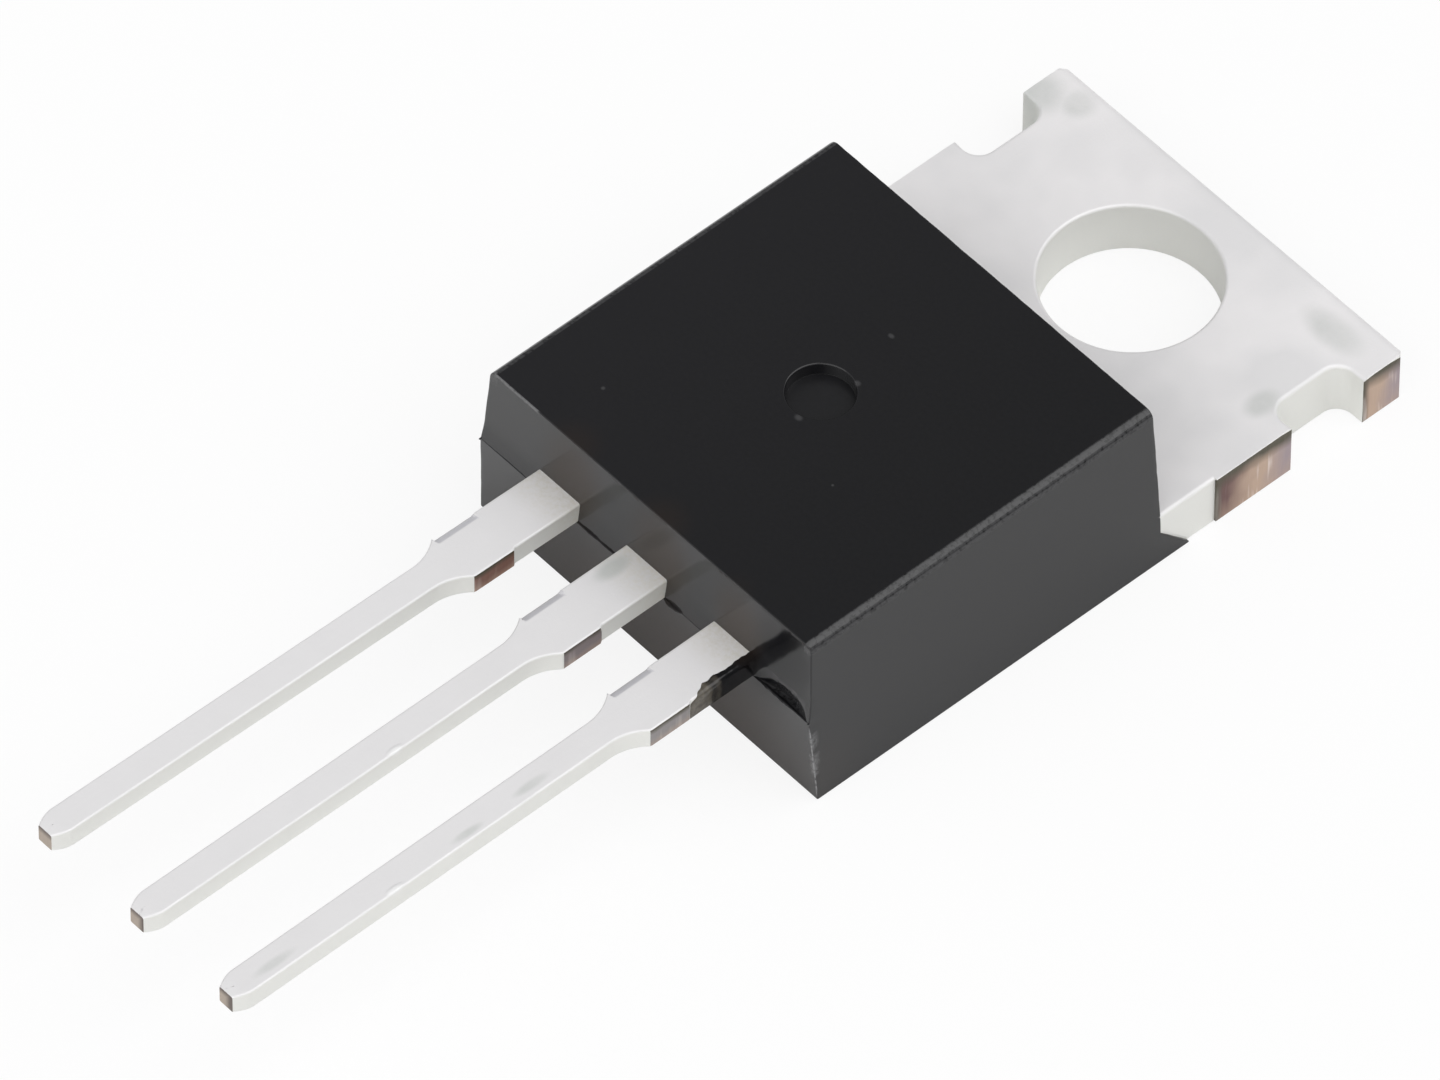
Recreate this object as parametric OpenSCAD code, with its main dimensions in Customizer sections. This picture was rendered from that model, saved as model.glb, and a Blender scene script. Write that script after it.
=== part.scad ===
// Power transistor in a three-lead flat-tab moulded case, lying on its mounting face.
// X runs across the leads, +Y points to the tab's end, +Z up from the mounting face.
// The origin is the centre of the mounting hole, on the mounting face.

/* [Heat tab] */
// Thickness of the copper plate
tab_t = 1.3; // [1:0.05:1.5]
// Width over the end wings
tab_w = 9.9; // [9.8:0.02:10.4]
// How far the cut faces between the notches and the body stand back from the wings
tie_in = 0.05; // [0.02:0.01:0.1]
// How far the plated sides next to the body stand back from those cut faces
side_in = 0.05; // [0.02:0.01:0.15]
// Distance from the hole centre to the tab's end
hole_to_end = 2.74; // [2.5:0.01:3.2]
// Diameter of the mounting hole
hole_d = 3.7; // [3:0.05:4]
// Rolled rim of the hole in the upper face
hole_break = 0.06; // [0.03:0.01:0.15]
// Chamfer at the two end corners
end_corner = 0.12; // [0.05:0.01:0.4]
// Rolled edge round the upper face
roll = 0.05; // [0.02:0.01:0.1]

/* [Side notches] */
// Depth of a notch, measured from the end wing
notch_depth = 0.7; // [0.4:0.02:0.8]
// Length of a notch along the tab's side
notch_len = 1.86; // [1.4:0.02:2.2]
// Distance from the tab's end to the notch
wing_len = 1.1; // [0.8:0.02:1.5]
// Radius of the notch's inner corners
notch_r = 0.4; // [0.2:0.02:0.6]
// Distance from the notch to the plated sides next to the body
tie_len = 1.98; // [1.4:0.02:2.2]

/* [Plate inside the body] */
// Width of the plate's upper part
plate_w = 8.7; // [8:0.05:9]
// Distance from the hole centre to the plate's front edge
hole_to_plate_front = 10.2; // [9.8:0.05:10.4]
// How far the exposed underside stands back from the plate's edges
lock_in = 0.45; // [0.2:0.05:0.6]
// How far the plate keeps its full width inside the body
shoulder_in = 0.4; // [0.2:0.05:0.6]
// Height of the step that the body grips
lock_h = 0.55; // [0.4:0.05:0.7]

/* [Body] */
// Height over the mounting face
body_h = 4.36; // [4.1:0.02:4.7]
// Thickness of the body over each side of the tab, at the mounting face
lip_wall = 0.08; // [0.04:0.01:0.3]
// Setback of the side faces at the mould's parting line
side_mid_in = 0.14; // [0.05:0.01:0.16]
// Setback of the side faces at the upper face, with its edges sharp
side_top_in = 0.27; // [0.2:0.01:0.35]
// Radius along the upper side edges
body_edge_r = 0.22; // [0.1:0.02:0.35]
// Distance from the hole centre to the front at the parting line
hole_to_front = 12.79; // [12.5:0.01:13]
// Ledge along the parting line, where the lower half of the front stands out
parting_ledge = 0.05; // [0.02:0.01:0.1]
// Setback of the front face at the top
front_top_in = 0.11; // [0.02:0.01:0.2]
// Setback of the front face at the mounting face
front_foot_in = 0.13; // [0.02:0.01:0.2]
// Distance from the hole centre to the back face, where it meets the tab
hole_to_back = 3.63; // [3.4:0.01:4]
// Setback of the back face at the top
back_top_in = 0.1; // [0.05:0.01:0.4]
// Length of the two lips beside the tab
lip_len = 0.73; // [0.3:0.01:1]
// Height of the two lips where they leave the back face
lip_h = 0.8; // [0.4:0.02:1]
// Diameter of the ejector pin's recess in the upper face
eject_d = 1.4; // [1:0.05:2]
// Depth of the ejector pin's recess
eject_depth = 0.2; // [0.05:0.01:0.3]
// Distance from the hole centre to the recess
hole_to_eject = 8.2; // [7.5:0.05:9]

/* [Leads] */
// Spacing of the leads' centre lines
lead_pitch = 2.54; // [2.4:0.01:2.7]
// Thickness of the leads
lead_t = 0.5; // [0.4:0.01:0.6]
// Height of the leads' underside over the mounting face
lead_rise = 2.3; // [2.1:0.02:2.5]
// Length of the leads in front of the body
lead_len = 12.97; // [6:0.01:16]
// Width of the leads next to the body
root_w = 1.2; // [1:0.02:1.26]
// Width over the stubs left by the cut dam bar
stub_w = 1.28; // [1.26:0.01:1.4]
// Distance from the body's front to the stubs
stub_gap = 1.64; // [1:0.01:2]
// Length of the stubs
stub_len = 1; // [0.6:0.02:1.4]
// Length of the curved taper behind the stubs
taper_len = 0.8; // [0.4:0.02:1.2]
// Width of the leads beyond the taper
lead_w = 0.68; // [0.6:0.01:0.9]
// Length of the pointed tip
tip_len = 0.36; // [0.2:0.02:0.6]
// Width of the tip's end face
tip_w = 0.38; // [0.3:0.01:0.5]
// Chamfer on the tip's upper and lower edges
tip_nip = 0.05; // [0.02:0.01:0.1]

/* [Lead ends inside the body] */
// Width of the bonding posts
post_w = 2.3; // [1.8:0.05:2.5]
// Length of the bonding posts
post_len = 1.3; // [1:0.05:1.5]
// Distance from the body's front to the posts
post_gap = 0.85; // [0.6:0.05:1]
// Corner radius of the posts
post_r = 0.3; // [0.1:0.05:0.4]
// Slope of the middle lead's bend down to the plate
bend_angle = 60; // [50:1:70]
// Flat length between the bend and the plate
bend_gap = 0.25; // [0.1:0.05:0.4]

/* [Die and wires] */
// Width of the silicon die
die_w = 3.9; // [3:0.1:4.6]
// Length of the silicon die
die_l = 3.5; // [3:0.1:3.8]
// Thickness of the silicon die
die_t = 0.28; // [0.2:0.02:0.4]
// Distance from the hole centre to the die's centre
hole_to_die = 7.5; // [7.2:0.05:7.7]
// Thickness of the solder under the die
solder_t = 0.05; // [0.03:0.01:0.1]
// How far the solder shows round the die
solder_rim = 0.15; // [0.05:0.05:0.3]
// Diameter of the emitter wires
emitter_wire_d = 0.38; // [0.25:0.01:0.4]
// Diameter of the base wire
base_wire_d = 0.25; // [0.2:0.01:0.38]
// Spacing of the two emitter wires
emitter_gap = 0.8; // [0.6:0.05:1]
// Length of the bonded foot at each end of a wire
foot_len = 0.5; // [0.3:0.05:0.6]
// Height of a pressed foot, as a share of the wire's diameter
foot_press = 0.75; // [0.7:0.01:0.85]
// Width of a pressed foot, as a share of the wire's diameter
foot_spread = 1.25; // [1.15:0.01:1.35]
// Slope at which the wires come down on the posts
wire_drop = 30; // [20:1:40]
// Distance from the die's front edge to the start of a wire's loop
die_bond_in = 0.95; // [0.8:0.05:1.2]
// Distance from a post's inner edge to the end of a wire's loop
post_bond_in = 0.35; // [0.2:0.05:0.5]
// Distance from the die's centre line to the emitter wires' centre
emitter_bond_x = 1; // [0.8:0.05:1.2]
// Distance from the die's centre line to the base wire
base_bond_x = 1.3; // [1:0.05:1.6]

/* [Hidden] */
$fn = 48;
over = 1;
lap = 0.01;
front_y = -hole_to_front;
tip_y = front_y - lead_len;
stub_y = front_y - stub_gap;
taper_y = stub_y - stub_len;
narrow_y = taper_y - taper_len;
back_y = -hole_to_back;
plate_front_y = -hole_to_plate_front;
shoulder_y = back_y - shoulder_in;
notch_far_y = hole_to_end - wing_len;
notch_near_y = notch_far_y - notch_len;
notch_x = tab_w / 2 - notch_depth;
tie_y = notch_near_y - tie_len;
tie_w = tab_w - 2 * tie_in;
side_w = tie_w - 2 * side_in;
body_w = side_w + 2 * lip_wall;
body_mid_w = body_w - 2 * side_mid_in;
body_top_w = body_w - 2 * side_top_in;
lead_top = lead_rise + lead_t;
post_y = front_y + post_gap;
post_end_y = post_y + post_len;
die_top = tab_t + solder_t + die_t;
die_bond_y = -hole_to_die - die_l / 2 + die_bond_in;
post_bond_y = post_end_y - post_bond_in;

// Points of a half profile and of its mirror image, as one closed outline
function both_sides(half) = concat(half, [for (i = [len(half) - 1:-1:0]) [-half[i][0], half[i][1]]]);

module round_corner_rect(w, l, r) {
    square([w - 2 * r, l], center = true);
    square([w, l - 2 * r], center = true);
    for (sx = [-1, 1], sy = [-1, 1])
        translate([sx * (w / 2 - r), sy * (l / 2 - r)]) circle(r);
}

// A profile in Y and Z, drawn out along X and centred on it
module across(w) {
    translate([-w / 2, 0, 0]) rotate([90, 0, 90]) linear_extrude(w) children();
}

// A profile in X and Z, drawn out along Y from y0 to y1
module along(y0, y1) {
    translate([0, y1, 0]) rotate([90, 0, 0]) linear_extrude(y1 - y0) children();
}

// The leads as they are stamped: narrow with a pointed tip, then a curved taper up to the stubs
// of the dam bar, then the wide root that enters the body
module lead_plan() {
    drop = (stub_w - lead_w) / 2;
    taper_r = (drop * drop + taper_len * taper_len) / (2 * drop);
    polygon(both_sides([[tip_w / 2, tip_y], [lead_w / 2, tip_y + tip_len],
                        [lead_w / 2, narrow_y + lap]]));
    difference() {
        translate([-stub_w / 2, narrow_y]) square([stub_w, taper_len + stub_len]);
        for (side = [-1, 1])
            translate([side * (lead_w / 2 + taper_r), narrow_y]) circle(taper_r, $fn = 96);
    }
    translate([-root_w / 2, stub_y - lap]) square([root_w, stub_gap + over]);
}

// The nipped tip, seen from the side; shared by the straight leads and the bent one
function tip_side() = [[tip_y + 2 * tip_nip, lead_top], [tip_y, lead_top - tip_nip],
                       [tip_y, lead_rise + tip_nip], [tip_y + 2 * tip_nip, lead_rise]];

module straight_lead() {
    intersection() {
        linear_extrude(lead_top + over) {
            lead_plan();
            translate([-root_w / 2, front_y]) square([root_w, post_gap + post_len / 2]);
            translate([0, post_y + post_len / 2]) round_corner_rect(post_w, post_len, post_r);
        }
        across(post_w + over)
            polygon(concat(tip_side(), [[post_end_y, lead_rise], [post_end_y, lead_top]]));
    }
}

// The middle lead bends down to the plate and is one piece with it
module bent_lead() {
    low_y = plate_front_y - bend_gap;
    high_y = low_y - (lead_top - tab_t) / tan(bend_angle);
    fold = lead_t * tan(bend_angle / 2);
    end_y = plate_front_y + lock_in;
    intersection() {
        linear_extrude(lead_top + over) {
            lead_plan();
            translate([-root_w / 2, front_y]) square([root_w, end_y - front_y]);
        }
        across(stub_w + over)
            polygon(concat(tip_side(),
                           [[high_y - fold, lead_rise], [low_y - fold, tab_t - lead_t],
                            [end_y, tab_t - lead_t], [end_y, tab_t],
                            [low_y, tab_t], [high_y, lead_top]]));
    }
}

module base_lead() {
    color("#d9d9d8") translate([-lead_pitch, 0, 0]) straight_lead();
}

module emitter_lead() {
    color("#d9d9d8") translate([lead_pitch, 0, 0]) straight_lead();
}

// Wedge that rolls off the plate's upper edge from point a to point b, with the metal on the left
module roll_off(a, b) {
    run = b - a;
    translate([a[0], a[1], tab_t]) rotate([0, 0, atan2(run[1], run[0])])
        rotate([90, 0, 90]) linear_extrude(norm(run))
            polygon([[roll, over], [roll, 0], [0, -roll], [-over, -roll], [-over, over]]);
}

// Notch in the right side of the tab, with round inner corners and a rolled upper edge
module side_notch() {
    corner_x = notch_x + notch_r;
    out_x = tab_w / 2 + over;
    translate([0, 0, -over]) linear_extrude(tab_t + 2 * over) {
        translate([corner_x, notch_near_y]) square([out_x - corner_x, notch_len]);
        translate([notch_x, notch_near_y + notch_r]) square([out_x - notch_x, notch_len - 2 * notch_r]);
        for (y = [notch_near_y + notch_r, notch_far_y - notch_r])
            translate([corner_x, y]) circle(notch_r);
    }
    for (y = [notch_near_y + notch_r, notch_far_y - notch_r])
        translate([corner_x, y, tab_t - roll]) cylinder(h = 2 * roll, r1 = notch_r, r2 = notch_r + 2 * roll);
    roll_off([notch_x, notch_near_y + notch_r], [notch_x, notch_far_y - notch_r]);
    roll_off([out_x, notch_near_y], [corner_x, notch_near_y]);
    roll_off([corner_x, notch_far_y], [out_x, notch_far_y]);
}

// Punched hole, rolled over at its upper rim
module mounting_hole() {
    translate([0, 0, -over]) cylinder(h = tab_t + 2 * over, d = hole_d);
    translate([0, 0, tab_t - hole_break])
        cylinder(h = 2 * hole_break, r1 = hole_d / 2, r2 = hole_d / 2 + 2 * hole_break);
}

// Copper plate with wings, notches and hole, and the middle lead in one piece with it
module heat_tab() {
    mid_y = notch_near_y + notch_len / 2;
    color("#d9d9d8") {
        difference() {
            union() {
                linear_extrude(tab_t)
                    polygon(both_sides([[side_w / 2, shoulder_y], [side_w / 2, tie_y],
                                        [tie_w / 2, tie_y], [tie_w / 2, mid_y],
                                        [tab_w / 2, mid_y], [tab_w / 2, hole_to_end - end_corner],
                                        [tab_w / 2 - end_corner, hole_to_end]]));
                translate([0, 0, lock_h]) linear_extrude(tab_t - lock_h)
                    polygon(both_sides([[plate_w / 2, plate_front_y], [plate_w / 2, shoulder_y + lap]]));
                linear_extrude(lock_h + lap)
                    polygon(both_sides([[plate_w / 2 - lock_in, plate_front_y + lock_in],
                                        [plate_w / 2 - lock_in, shoulder_y + lap]]));
                bent_lead();
            }
            mounting_hole();
            for (side = [0, 1]) mirror([side, 0, 0]) {
                side_notch();
                roll_off([side_w / 2, tie_y], [side_w / 2, shoulder_y]);
            }
            roll_off([tab_w / 2, hole_to_end], [-tab_w / 2, hole_to_end]);
        }
    }
}

module die_solder() {
    color("#9fa3a6") translate([0, -hole_to_die, tab_t]) linear_extrude(solder_t)
        round_corner_rect(die_w + 2 * solder_rim, die_l + 2 * solder_rim, solder_rim);
}

module silicon_die() {
    color("#5d6470") translate([0, -hole_to_die, tab_t + solder_t + die_t / 2])
        cube([die_w, die_l, die_t], center = true);
}

// A foot pressed on its pad, lying along X from x0 to x1 with the pad at Z = 0
module wire_foot(d, x0, x1) {
    foot_d = foot_spread * d;
    translate([x0, 0, foot_press * d - foot_d / 2]) rotate([0, 90, 0]) cylinder(h = x1 - x0, d = foot_d);
}

// A bonded wire: a pressed foot at each end, and one arc over from foot to foot. It starts on the
// die at from and ends on a post at to, each a point on the pad under the wire.
module bond_wire(d, from, to) {
    reach = norm([to[0] - from[0], to[1] - from[1]]);
    rise = to[2] - from[2];
    lift = d * (foot_press - 0.5);
    climb = wire_drop + 2 * atan(rise / reach);
    loop_r = reach / (sin(climb) + sin(wire_drop));
    sunk = asin(foot_spread * d / 2 / loop_r);
    translate(from) rotate([0, 0, atan2(to[1] - from[1], to[0] - from[0])])
        difference() {
            union() {
                wire_foot(d, -foot_len, d / 2);
                translate([loop_r * sin(climb), 0, lift - loop_r * cos(climb)])
                    rotate([90, 0, 0]) rotate([0, 0, 90 - wire_drop - sunk])
                        rotate_extrude(angle = climb + wire_drop + 2 * sunk)
                            translate([loop_r, 0]) circle(d / 2);
                translate([0, 0, rise]) wire_foot(d, reach - d / 2, reach + foot_len);
            }
            translate([-foot_len - over, -d, -d]) cube([foot_len + over + d, 2 * d, d]);
            translate([reach - d, -d, rise - d]) cube([foot_len + over + d, 2 * d, d]);
        }
}

module base_wire() {
    color("#cfcfcb") bond_wire(base_wire_d, [-base_bond_x, die_bond_y, die_top],
                               [-lead_pitch, post_bond_y, lead_top]);
}

// The two emitter wires run side by side, so the spacing is the same on the die and on the post
module emitter_wire(side) {
    shift = side * emitter_gap / 2;
    color("#cfcfcb") bond_wire(emitter_wire_d, [emitter_bond_x + shift, die_bond_y, die_top],
                               [lead_pitch + shift, post_bond_y, lead_top]);
}

module emitter_wire_inner() { emitter_wire(-1); }

module emitter_wire_outer() { emitter_wire(1); }

// Cross-section of the body, with both upper edges rounded
module body_section() {
    top_x = body_top_w / 2;
    lean = atan((body_mid_w - body_top_w) / 2 / (body_h - lead_rise));
    tangent = body_edge_r * tan((90 - lean) / 2);
    polygon(both_sides([[body_w / 2, 0], [body_mid_w / 2, lead_rise],
                        [top_x + tangent * sin(lean), body_h - tangent * cos(lean)],
                        [top_x - tangent, body_h]]));
    for (side = [-1, 1])
        translate([side * (top_x - tangent), body_h - body_edge_r]) circle(body_edge_r);
}

// Side view of the body: drafted ends, and at the back a wedge that becomes the two lips
module body_side() {
    polygon([[front_y + front_foot_in, 0], [front_y, lead_rise], [front_y + parting_ledge, lead_rise],
             [front_y + parting_ledge + front_top_in, body_h],
             [back_y - back_top_in, body_h], [back_y, tab_t], [back_y, lip_h],
             [back_y + lip_len, 0]]);
}

// The body is cast round what it holds, so its pockets are those pieces' own shapes
module moulded_body() {
    color("#2b2b2d") difference() {
        intersection() {
            along(front_y - over, back_y + lip_len + over) body_section();
            across(body_w + 2 * over) body_side();
        }
        translate([0, -hole_to_eject, body_h - eject_depth]) cylinder(h = 2 * eject_depth, d = eject_d);
        heat_tab();
        base_lead();
        emitter_lead();
        die_solder();
        silicon_die();
        base_wire();
        emitter_wire(-1);
        emitter_wire(1);
    }
}

heat_tab();
base_lead();
emitter_lead();
die_solder();
silicon_die();
base_wire();
emitter_wire_inner();
emitter_wire_outer();
moulded_body();
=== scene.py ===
import math

import bmesh
import bpy
from mathutils import Matrix, Vector, noise


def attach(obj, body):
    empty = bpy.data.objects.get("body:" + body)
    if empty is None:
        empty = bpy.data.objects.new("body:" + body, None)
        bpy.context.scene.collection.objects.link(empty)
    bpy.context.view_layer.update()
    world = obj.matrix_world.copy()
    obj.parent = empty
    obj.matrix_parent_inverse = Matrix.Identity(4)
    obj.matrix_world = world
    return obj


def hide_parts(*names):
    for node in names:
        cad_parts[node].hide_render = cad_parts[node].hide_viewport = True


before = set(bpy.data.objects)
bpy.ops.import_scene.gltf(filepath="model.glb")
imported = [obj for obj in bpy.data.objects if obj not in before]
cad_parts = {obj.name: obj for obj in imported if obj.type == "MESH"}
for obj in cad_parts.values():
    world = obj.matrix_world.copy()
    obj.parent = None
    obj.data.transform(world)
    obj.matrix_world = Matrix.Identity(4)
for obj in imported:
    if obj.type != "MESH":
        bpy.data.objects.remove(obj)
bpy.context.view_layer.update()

scene = bpy.context.scene
scene.view_settings.view_transform = "Standard"
mm = 0.001


def newObject(name, data, *materials):
    made = bpy.data.objects.new(name, data)
    scene.collection.objects.link(made)
    for material in materials:
        data.materials.append(material)
    return made


# Camera, as fitted to the photograph: place in mm, direction and upward side in the part's frame
cameraSettings = {
    "place": (227.487, -216.444, 375.160),
    "look": (-0.470939, 0.425715, -0.772647),
    "up": (-0.578506, 0.512192, 0.634815),
    "lens": 622.6,
    "sensor": 36,
    "clip": (0.02, 10),
}


def makeCamera(s):
    data = bpy.data.cameras.new("camera")
    data.lens = s["lens"]
    data.sensor_width = s["sensor"]
    data.sensor_fit = "HORIZONTAL"
    data.clip_start, data.clip_end = s["clip"]
    look = Vector(s["look"]).normalized()
    right = look.cross(Vector(s["up"])).normalized()
    turn = Matrix((right, right.cross(look), -look)).transposed().to_4x4()
    camera = newObject("camera", data)
    camera.matrix_world = Matrix.Translation(Vector(s["place"]) * mm) @ turn
    scene.camera = camera


makeCamera(cameraSettings)
print("camera in place")


# A node's output, with which sums, products and comparisons can be written
class Field:
    def __init__(self, socket):
        self.socket = socket
        self.tree = socket.id_data

    def __add__(self, other):
        return calc("ADD", self, other)

    def __sub__(self, other):
        return calc("SUBTRACT", self, other)

    def __rsub__(self, other):
        return calc("SUBTRACT", other, self)

    def __mul__(self, other):
        return calc("MULTIPLY", self, other)

    def __truediv__(self, other):
        return calc("DIVIDE", self, other)

    def __gt__(self, other):
        return calc("GREATER_THAN", self, other)

    def __lt__(self, other):
        return calc("LESS_THAN", self, other)


def feed(socket, value):
    if isinstance(value, Field):
        socket.id_data.links.new(value.socket, socket)
    else:
        socket.default_value = value


def addNode(tree, kind, inputs=None, **settings):
    node = tree.nodes.new(kind)
    for name, value in settings.items():
        setattr(node, name, value)
    for name, value in (inputs or {}).items():
        feed(node.inputs[name], value)
    return node


def addField(tree, kind, inputs=None, output=0, **settings):
    return Field(addNode(tree, kind, inputs, **settings).outputs[output])


def calc(operation, *values, clamp=False):
    tree = next(value.tree for value in values if isinstance(value, Field))
    return addField(tree, "ShaderNodeMath", dict(enumerate(values)), operation=operation, use_clamp=clamp)


# How far a value is from low to high, from 0 to 1
def share(value, low, high):
    return calc("DIVIDE", value - low, high - low, clamp=True)


def ramp(value, low, high, a=0.0, b=1.0, smooth=False):
    inputs = {"Value": value, "From Min": low, "From Max": high, "To Min": a, "To Max": b}
    kind = "SMOOTHSTEP" if smooth else "LINEAR"
    return addField(value.tree, "ShaderNodeMapRange", inputs, "Result", interpolation_type=kind)


def axes(vector):
    return [Field(output) for output in addNode(vector.tree, "ShaderNodeSeparateXYZ", {0: vector}).outputs]


def vectorCalc(operation, a, b, output=0):
    return addField(a.tree, "ShaderNodeVectorMath", {0: a, 1: b}, output, operation=operation)


def scaled(vector, factor):
    return addField(vector.tree, "ShaderNodeVectorMath", {0: vector, "Scale": factor}, operation="SCALE")


def mixColours(factor, a, b):
    return addField(factor.tree, "ShaderNodeMix", {0: factor, 6: a, 7: b}, 2, data_type="RGBA")


def mixShaders(factor, a, b):
    return addField(factor.tree, "ShaderNodeMixShader", {0: factor, 1: a, 2: b})


def bump(height, strength, distance, normal=None):
    inputs = {"Height": height, "Strength": strength, "Distance": distance * mm}
    if normal:
        inputs["Normal"] = normal
    return addField(height.tree, "ShaderNodeBump", inputs, "Normal")


columnStep, rowStep = -220, -200


# Nodes stand in columns, each to the left of those it feeds
def layOut(tree):
    column = {node.name: 0 for node in tree.nodes}
    links = [(link.from_node.name, link.to_node.name) for link in tree.links]
    for _ in tree.nodes:
        for start, end in links:
            column[start] = max(column[start], column[end] + 1)
    rows = {}
    for node in tree.nodes:
        depth = column[node.name]
        rows[depth] = rows.get(depth, 0) + 1
        node.location = (columnStep * depth, rowStep * rows[depth])


# Sockets by label: each has a kind, or a value that tells the kind and is the default
def newGroup(name, kind, inputs, outputs):
    tree = bpy.data.node_groups.new(name, kind + "NodeTree")
    for way, labels in (("INPUT", inputs), ("OUTPUT", outputs)):
        for label, given in labels.items():
            sort = given if isinstance(given, str) else "Vector" if isinstance(given, tuple) else "Float"
            socket = tree.interface.new_socket(label, in_out=way, socket_type="NodeSocket" + sort)
            if not isinstance(given, str):
                socket.default_value = given
    put = addNode(tree, "NodeGroupInput").outputs
    return tree, {label: Field(put[label]) for label in inputs}, addNode(tree, "NodeGroupOutput").inputs


def emptyTree(owner):
    owner.use_nodes = True
    owner.node_tree.nodes.clear()
    return owner.node_tree


def newMaterial(name, constants=None):
    material = bpy.data.materials.new(name)
    tree = emptyTree(material)
    shader = addNode(tree, "ShaderNodeBsdfPrincipled", constants)
    addNode(tree, "ShaderNodeOutputMaterial", {"Surface": Field(shader.outputs["BSDF"])})
    return material, shader.inputs, addField(tree, "ShaderNodeTexCoord", output="Object")


# Light: a white floor, two large softboxes and a grey room
lightSettings = {
    "room": 0.74,
    "shade": 0.31,
    "shadeFrom": (-0.55, 0.45, 0.70),
    "shadeEdge": (0.6, 0.93),
    "skirt": 0.22,
    "skirtTop": (0.10, 0.32),
    "overheadBox": {"from": (0.38, 0.34, 0.86), "far": 0.55, "size": 0.66, "power": 1.35},
    "frontBox": {"from": (0.15, -0.85, 0.58), "far": 0.75, "size": 0.95, "power": 2.1},
    "floorSize": 3.0,
    "floorColour": (0.9, 0.9, 0.9, 1),
    "floorGlow": 0.85,
    "floorDrop": 0.02,
}


def makeSoftbox(name, s):
    data = bpy.data.lights.new(name, "AREA")
    data.shape = "DISK"
    data.size = s["size"]
    data.energy = s["power"]
    lamp = newObject(name, data)
    away = Vector(s["from"]).normalized()
    lamp.location = away * s["far"]
    lamp.rotation_euler = away.to_track_quat("Z", "Y").to_euler()


def makeWorld(s):
    world = bpy.data.worlds.new("room")
    scene.world = world
    tree = emptyTree(world)
    direction = addField(tree, "ShaderNodeTexCoord", output="Generated")
    toShade = vectorCalc("DOT_PRODUCT", direction, Vector(s["shadeFrom"]).normalized(), "Value")
    tone = ramp(toShade, *s["shadeEdge"], s["room"], s["shade"], smooth=True)
    # The room is darker just above the floor's edge
    skirt = ramp(axes(direction)[2], *s["skirtTop"], s["skirt"], 1.0, smooth=True)
    room = addField(tree, "ShaderNodeBackground", {"Color": tone * skirt})
    white = addField(tree, "ShaderNodeBackground", {"Color": (1, 1, 1, 1)})
    seen = addField(tree, "ShaderNodeLightPath", output="Is Camera Ray")
    addNode(tree, "ShaderNodeOutputWorld", {"Surface": mixShaders(seen, room, white)})
    layOut(tree)


def makeFloor(s):
    half = s["floorSize"] / 2
    z = -s["floorDrop"] * mm
    mesh = bpy.data.meshes.new("floor")
    mesh.from_pydata([(-half, -half, z), (half, -half, z), (half, half, z), (-half, half, z)], [], [(0, 1, 2, 3)])
    material = bpy.data.materials.new("whiteFloor")
    tree = emptyTree(material)
    matt = addField(tree, "ShaderNodeBsdfDiffuse", {"Color": s["floorColour"]})
    glow = addField(tree, "ShaderNodeEmission", {"Strength": 1})
    seen = addField(tree, "ShaderNodeLightPath", output="Is Camera Ray")
    addNode(tree, "ShaderNodeOutputMaterial", {"Surface": mixShaders(seen * s["floorGlow"], matt, glow)})
    layOut(tree)
    floor = newObject("floor", mesh, material)


makeWorld(lightSettings)
makeFloor(lightSettings)
for name in ("overheadBox", "frontBox"):
    makeSoftbox(name, lightSettings[name])
print("floor and lights in place")


groupSettings = {
    "coarse": {"Detail": 2.0, "Roughness": 0.5},
    "fine": {"Detail": 4.0, "Roughness": 0.65},
    "finer": 3.1,
    "fineShare": 0.5,
    "markEdge": (1.0, 0.3),
}


# Noise of two sizes, for tones and for bumps
def grainGroup(s):
    group, put, out = newGroup("fineGrain", "Shader", {"Vector": "Vector", "Per mm": 20.0, "Stretch": (1, 1, 1)},
                               {"Tone": "Float", "Height": "Float"})
    place = vectorCalc("MULTIPLY", put["Vector"], put["Stretch"])
    scale = put["Per mm"] * 1000
    coarse = addField(group, "ShaderNodeTexNoise", {"Vector": place, "Scale": scale, **s["coarse"]}, "Fac")
    fine = addField(group, "ShaderNodeTexNoise", {"Vector": place, "Scale": scale * s["finer"], **s["fine"]}, "Fac")
    feed(out["Tone"], coarse)
    feed(out["Height"], calc("MULTIPLY_ADD", fine, s["fineShare"], coarse))
    layOut(group)
    return group


# A mark of a given radius in mm about a place, drawn out along one axis by the stretch
def markGroup(s):
    group, put, out = newGroup("softMark", "Shader", {"Vector": "Vector", "Place": (0, 0, 0), "Stretch": (1, 1, 1),
                                                      "Radius": 0.2}, {"Mask": "Float"})
    away = vectorCalc("SUBTRACT", scaled(put["Vector"], 1000), put["Place"])
    far = vectorCalc("MULTIPLY", away, put["Stretch"])
    length = addField(group, "ShaderNodeVectorMath", {0: far}, "Value", operation="LENGTH")
    feed(out["Mask"], ramp(length / put["Radius"], *s["markEdge"], smooth=True))
    layOut(group)
    return group


fineGrain = grainGroup(groupSettings)
softMark = markGroup(groupSettings)


def grain(coords, perMm, stretch=(1, 1, 1)):
    inputs = {"Vector": coords, "Per mm": perMm, "Stretch": stretch}
    node = addNode(coords.tree, "ShaderNodeGroup", inputs, node_tree=fineGrain)
    return Field(node.outputs["Tone"]), Field(node.outputs["Height"])


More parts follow.
